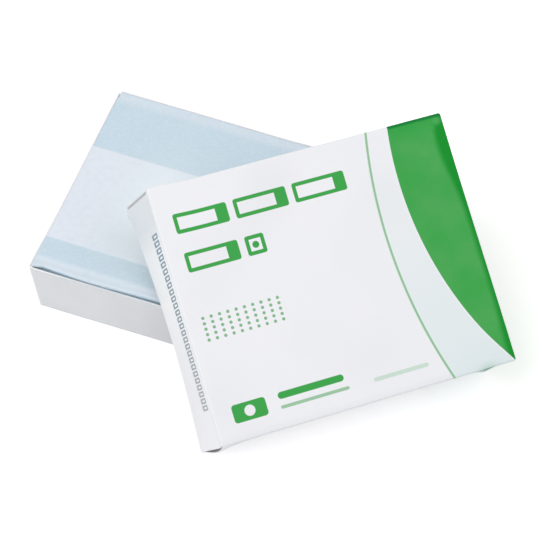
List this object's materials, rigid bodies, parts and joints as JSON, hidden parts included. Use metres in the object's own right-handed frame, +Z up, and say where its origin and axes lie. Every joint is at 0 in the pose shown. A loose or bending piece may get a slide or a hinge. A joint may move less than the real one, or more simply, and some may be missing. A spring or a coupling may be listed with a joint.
{
  "type": "microscope slide box",
  "caption": "Open two-part cardboard box of microscope slides: paper-wrapped block in a shallow tray, printed lid leaning on the tray.",
  "frame": {"origin": "middle of the tray's underside", "axes": "+X along the tray's long front wall, +Y to its back wall, +Z up"},
  "size_m": [0.1376, 0.1124, 0.0602],
  "materials": {
    "tray_board": "matt coated white folding board, grey-white inside",
    "wrap_paper": "pale blue wrapping paper, lighter where it lies double",
    "lid_board": "coated white folding board with a green printed field, satin"
  },
  "bodies": {
    "root": {"tray": "tray_board", "slide_pack": "wrap_paper", "lid": "lid_board"}
  },
  "joints": []
}
